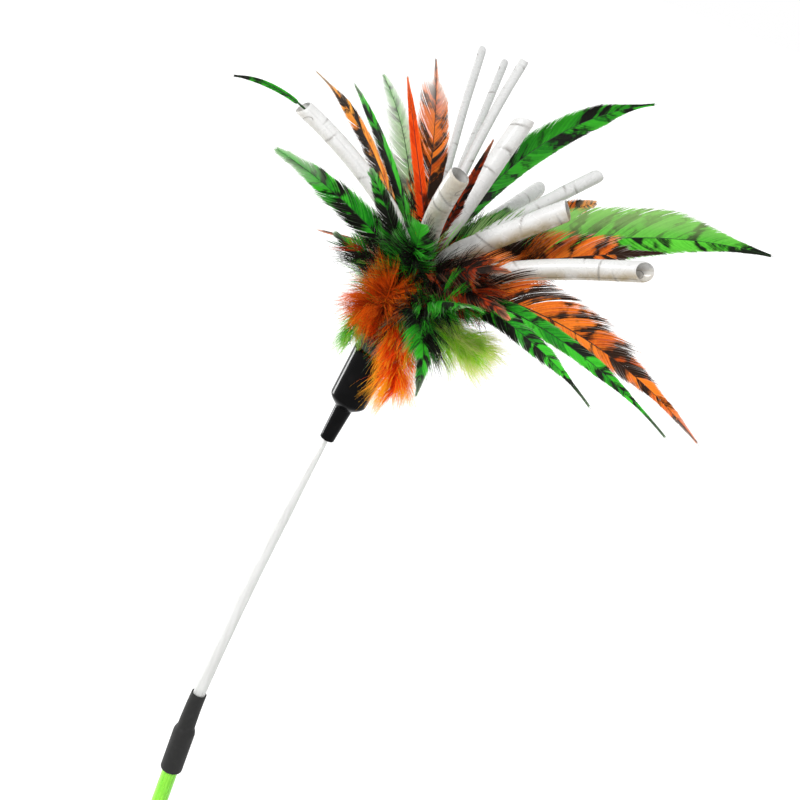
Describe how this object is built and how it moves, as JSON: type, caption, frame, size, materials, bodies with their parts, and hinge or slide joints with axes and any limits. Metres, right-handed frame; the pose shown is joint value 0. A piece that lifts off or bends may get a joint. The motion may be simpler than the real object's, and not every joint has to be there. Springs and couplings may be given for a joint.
{
  "type": "feather cat teaser wand",
  "caption": "Cat teaser wand: a straight tube handle, a soft black sleeve, a springy tapered clear rod and a black cap with a fan of dyed feathers, rolled film tubes and down.",
  "frame": {"origin": "centre of the flat butt face of the handle's end cap", "axes": "+Z along the handle toward the feathers; +X the side toward which the clear rod curves; the pictured side faces -Y"},
  "size_m": [0.2504, 0.1758, 0.6296],
  "materials": {
    "handle": "satin, translucent",
    "soft_black": "matte",
    "clear_rod": "frosted, translucent",
    "gloss_black": "gloss",
    "glue": "satin",
    "thread": "matte",
    "film": "satin",
    "green_vane": "satin",
    "pale_green_vane": "satin",
    "orange_vane": "satin",
    "red_vane": "satin",
    "fluff_orange": "downy",
    "fluff_green": "downy"
  },
  "bodies": {
    "handle": {"handle_rod": "handle", "butt_cap": "soft_black", "coupling_sleeve": "soft_black"},
    "rod": {"clear_rod": "clear_rod"},
    "head": {"bell_cap": "gloss_black", "glue_plug": "glue", "binding_thread": "thread", "feather_green_long_upper": "green_vane", "feather_green_narrow_left": "green_vane", "feather_green_left": "green_vane", "feather_green_long_right": "green_vane", "feather_green_lower_outer": "green_vane", "feather_green_lower_inner": "green_vane", "feather_green_front": "green_vane", "feather_green_hanging": "green_vane", "feather_green_spiky_left": "green_vane", "feather_green_crown": "green_vane", "feather_green_front_left": "green_vane", "feather_green_front_low": "green_vane", "feather_green_back": "green_vane", "feather_green_back_right": "green_vane", "feather_green_thin": "green_vane", "feather_green_wispy": "pale_green_vane", "feather_orange_upright": "orange_vane", "feather_orange_left": "orange_vane", "feather_orange_back_right": "orange_vane", "feather_dark_right": "orange_vane", "feather_orange_long_lower": "orange_vane", "feather_orange_front": "orange_vane", "feather_orange_back_left": "orange_vane", "feather_red_short": "red_vane", "feather_red_plain": "red_vane", "feather_red_front_right": "red_vane", "feather_red_front_left": "red_vane", "feather_red_back": "red_vane", "tube_front": "film", "tube_left": "film", "tube_rear_thin": "film", "tube_rear_thin_long": "film", "tube_upper": "film", "tube_upper_wide": "film", "tube_rear_right": "film", "tube_right_pale": "film", "tube_right": "film", "tube_lower_right": "film", "fluff_orange_front": "fluff_orange", "fluff_orange_upper": "fluff_orange", "fluff_orange_left": "fluff_orange", "fluff_orange_back": "fluff_orange", "fluff_green_left": "fluff_green", "fluff_green_back_left": "fluff_green", "fluff_green_back_right": "fluff_green", "fluff_yellow_right": "fluff_green", "fluff_green_right": "fluff_green", "fluff_green_front_right": "fluff_green"}
  },
  "joints": [
    {"name": "coupling_flex", "type": "hinge", "parent": "handle", "child": "rod", "pos_m": [0.00016, 0, 0.2994], "axis": [1, 0, 0], "range_deg": [-10, 10], "stiffness_Nm_per_rad": 0.8, "deforming": ["coupling_sleeve"]},
    {"name": "rod_flex", "type": "hinge", "parent": "rod", "child": "head", "pos_m": [0.0068, 0, 0.37961], "axis": [0, 1, 0], "range_deg": [-35, 35], "stiffness_Nm_per_rad": 0.35, "deforming": ["clear_rod"]}
  ]
}
